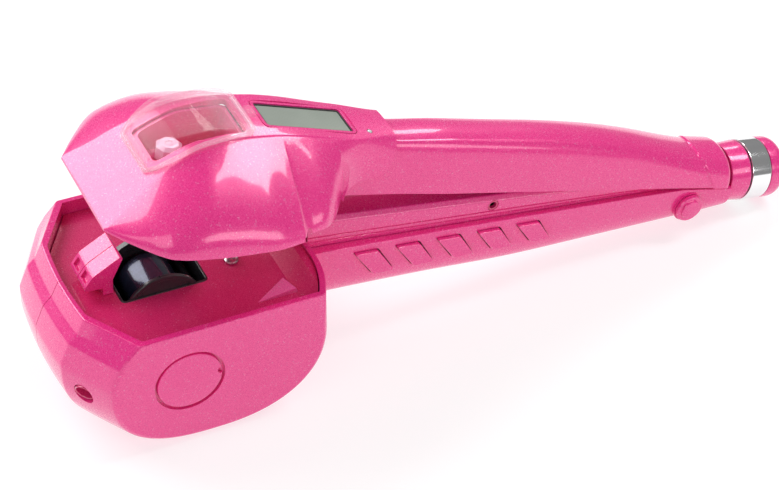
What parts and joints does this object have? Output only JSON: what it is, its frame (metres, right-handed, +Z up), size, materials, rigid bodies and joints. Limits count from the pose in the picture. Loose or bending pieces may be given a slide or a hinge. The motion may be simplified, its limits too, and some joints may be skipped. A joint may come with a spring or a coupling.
{
  "type": "automatic hair curler",
  "caption": "Automatic hair curler with a hinged jaw over a curling chamber, a clear-lidded tank, a display, a row of side keys and a swivel cord end.",
  "frame": {"origin": "centre of the object's footprint, on the surface it lies on", "axes": "+X towards the cord end of the handle, +Z up"},
  "size_m": [0.3089, 0.0852, 0.1108],
  "materials": {
    "pink_gloss": "gloss pink with fine metallic flake",
    "deep_pink_gloss": "deeper pink, gloss",
    "pale_pink": "pale pink, gloss",
    "black_plastic": "black heat-resistant plastic",
    "barrel_coating": "dark ceramic coating",
    "ceramic": "fired ceramic",
    "steel": "plated steel",
    "chrome": "polished ring",
    "brass": "turned brass",
    "gear_plastic": "natural acetal",
    "circuit_board": "glass-fibre board",
    "clear_plastic": "clear moulded plastic",
    "display_glass": "grey-green display",
    "indicator": "small lens"
  },
  "bodies": {
    "lower_arm": {"lower_shell_near": "pink_gloss", "lower_shell_far": "pink_gloss", "chamber_tray": "deep_pink_gloss", "hair_guide": "pink_gloss", "chamber_cup": "black_plastic", "barrel_end_disc": "black_plastic", "heated_barrel": "barrel_coating", "heater_core": "ceramic", "rotor_bush": "brass", "idler_axle": "steel", "motor": "steel", "gear_cover": "black_plastic", "key_board": "circuit_board", "control_board": "circuit_board", "closing_switch": "black_plastic", "thermal_fuse": "ceramic", "handle_inner_cover": "pink_gloss", "side_disc_near": "pink_gloss", "side_disc_far": "pink_gloss", "screw_well_near": "deep_pink_gloss", "screw_well_far": "deep_pink_gloss", "front_screw_near": "steel", "front_screw_far": "steel", "hinge_cap_near": "pink_gloss", "hinge_cap_far": "pink_gloss", "hinge_pin": "steel", "hinge_spring": "steel", "tail_collar": "pink_gloss", "shell_screw_1": "steel", "shell_screw_2": "steel", "shell_screw_3": "steel", "tray_screw_1": "steel", "tray_screw_2": "steel"},
    "upper_arm": {"head_cover": "pink_gloss", "upper_handle_cover": "pink_gloss", "display_bezel": "deep_pink_gloss", "display_glass": "display_glass", "display_board": "circuit_board", "indicator_lens": "indicator", "tank_tub": "deep_pink_gloss", "jaw_plate": "deep_pink_gloss", "chamber_hood": "black_plastic", "jaw_chassis": "black_plastic", "jaw_screw_1": "steel", "jaw_screw_2": "steel"},
    "lid": {"tank_lid": "clear_plastic"},
    "latch": {"lid_latch": "clear_plastic"},
    "stopper": {"tank_stopper": "pale_pink"},
    "rotor": {"rotor_disc": "black_plastic", "rotor_gear": "gear_plastic"},
    "idler": {"idler_gear": "gear_plastic"},
    "pinion": {"motor_pinion": "brass"},
    "swivel": {"swivel_ring": "chrome", "cord_end_cap": "pink_gloss"},
    "key_power_body": {"key_power": "pink_gloss"},
    "key_heat_body": {"key_heat": "pink_gloss"},
    "key_time_body": {"key_time": "pink_gloss"},
    "key_direction_body": {"key_direction": "pink_gloss"},
    "key_mode_body": {"key_mode": "pink_gloss"}
  },
  "joints": [
    {"name": "jaw_hinge", "type": "hinge", "parent": "lower_arm", "child": "upper_arm", "pos_m": [0.10615, 0, 0.0145], "axis": [0, -1, 0], "range_deg": [0, 8.2], "stiffness_Nm_per_rad": 1.6, "springref_deg": -17.19},
    {"name": "lid_hinge", "type": "hinge", "parent": "upper_arm", "child": "lid", "pos_m": [-0.11893, 0, 0.09877], "axis": [0, -1, 0], "range_deg": [0, 95]},
    {"name": "latch_slide", "type": "slide", "parent": "upper_arm", "child": "latch", "axis": [0.9898, 0, -0.1426], "range_m": [0, 0.0012], "stiffness_N_per_m": 300, "springref_m": -0.001},
    {"name": "stopper_turn", "type": "hinge", "parent": "upper_arm", "child": "stopper", "pos_m": [-0.10702, -0.0015, 0.09169], "axis": [0.1426, 0, 0.9898], "range_deg": [0, 90]},
    {"name": "rotor_spin", "type": "hinge", "parent": "lower_arm", "child": "rotor", "pos_m": [-0.11245, 0, 0.0385], "axis": [0, 1, 0], "continuous": true},
    {"name": "idler_spin", "type": "hinge", "parent": "lower_arm", "child": "idler", "pos_m": [-0.09795, 0, 0.03174], "axis": [0, 1, 0], "continuous": true},
    {"name": "pinion_spin", "type": "hinge", "parent": "lower_arm", "child": "pinion", "pos_m": [-0.08298, 0, 0.0291], "axis": [0, 1, 0], "continuous": true},
    {"name": "cord_swivel", "type": "hinge", "parent": "lower_arm", "child": "swivel", "pos_m": [0.14015, 0, 0.01365], "axis": [0.9848, 0, -0.1736], "continuous": true},
    {"name": "key_power_press", "type": "slide", "parent": "lower_arm", "child": "key_power_body", "axis": [0, 1, 0], "range_m": [0, 0.0008], "stiffness_N_per_m": 300, "springref_m": -0.001},
    {"name": "key_heat_press", "type": "slide", "parent": "lower_arm", "child": "key_heat_body", "axis": [0, 1, 0], "range_m": [0, 0.0008], "stiffness_N_per_m": 300, "springref_m": -0.001},
    {"name": "key_time_press", "type": "slide", "parent": "lower_arm", "child": "key_time_body", "axis": [0, 1, 0], "range_m": [0, 0.0008], "stiffness_N_per_m": 300, "springref_m": -0.001},
    {"name": "key_direction_press", "type": "slide", "parent": "lower_arm", "child": "key_direction_body", "axis": [0, 1, 0], "range_m": [0, 0.0008], "stiffness_N_per_m": 300, "springref_m": -0.001},
    {"name": "key_mode_press", "type": "slide", "parent": "lower_arm", "child": "key_mode_body", "axis": [0, 1, 0], "range_m": [0, 0.0008], "stiffness_N_per_m": 300, "springref_m": -0.001}
  ],
  "couplings": [
    {"joint": "idler_spin", "follows": "rotor_spin", "ratio": -0.42857},
    {"joint": "pinion_spin", "follows": "rotor_spin", "ratio": 1.2}
  ]
}
